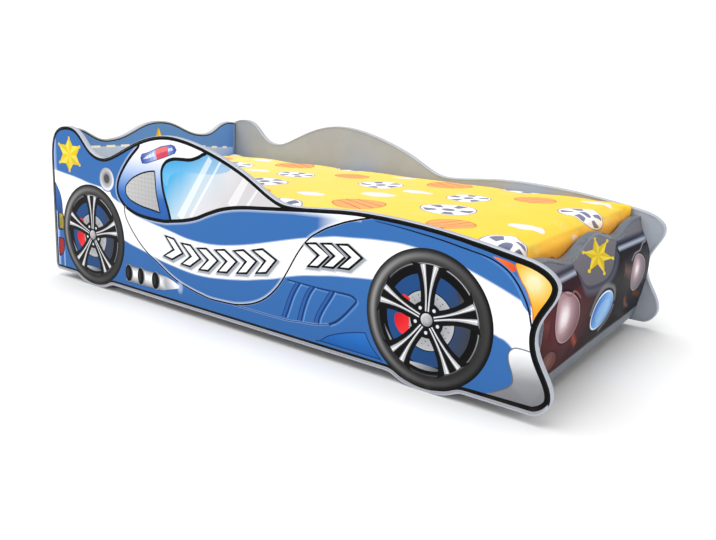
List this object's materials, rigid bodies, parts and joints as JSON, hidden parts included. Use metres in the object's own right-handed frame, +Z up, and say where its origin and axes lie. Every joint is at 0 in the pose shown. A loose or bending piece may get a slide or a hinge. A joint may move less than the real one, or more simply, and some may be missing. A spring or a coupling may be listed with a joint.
{
  "type": "car bed for children",
  "caption": "Child's bed shaped like a car: printed board sides with grey edging, headboard, bulged bumper, loose slatted base and a covered mattress.",
  "frame": {"origin": "on the floor, below the middle of the bed's bounding box", "axes": "+X along the bed to the nose, +Y to the car's left side, +Z up"},
  "size_m": [1.797, 0.845, 0.5264],
  "materials": {
    "white_board": "satin white melamine on chipboard",
    "grey_edging": "smooth grey plastic edging",
    "printed_film": "glossy printed film",
    "bumper_plastic": "semi-gloss moulded plastic",
    "pine": "planed, unvarnished",
    "beech": "raw",
    "webbing": "woven tape",
    "foam": "open-cell foam",
    "cover_cloth": "printed cotton",
    "zinc_steel": "zinc plated",
    "white_plastic": "matt"
  },
  "bodies": {
    "bed_frame": {"side_panel_right": "white_board", "side_panel_left": "white_board", "side_trim_right": "grey_edging", "side_trim_left": "grey_edging", "side_print_right": "printed_film", "side_print_left": "printed_film", "headboard": "white_board", "headboard_trim": "grey_edging", "headboard_print": "printed_film", "footboard": "white_board", "bumper_shell": "bumper_plastic", "bumper_print": "printed_film", "support_rail_right": "pine", "support_rail_left": "pine", "cam_housings": "zinc_steel", "cam_bolts": "zinc_steel", "cam_caps": "white_plastic", "wooden_dowels": "beech", "rail_screws": "zinc_steel", "bumper_screws": "zinc_steel"},
    "slat_base": {"slat_01": "pine", "slat_02": "pine", "slat_03": "pine", "slat_04": "pine", "slat_05": "pine", "slat_06": "pine", "slat_07": "pine", "slat_08": "pine", "slat_09": "pine", "slat_10": "pine", "slat_11": "pine", "slat_12": "pine", "slat_13": "pine", "slat_14": "pine", "slat_ribbon_right": "webbing", "slat_ribbon_left": "webbing", "ribbon_staples": "zinc_steel"},
    "mattress": {"mattress_core": "foam", "mattress_cover": "cover_cloth"}
  },
  "joints": [
    {"name": "slat_base_lift", "type": "slide", "parent": "bed_frame", "child": "slat_base", "axis": [0, 0, 1], "range_m": [0, 0.4]},
    {"name": "mattress_lift", "type": "slide", "parent": "slat_base", "child": "mattress", "axis": [0, 0, 1], "range_m": [0, 0.45]}
  ]
}
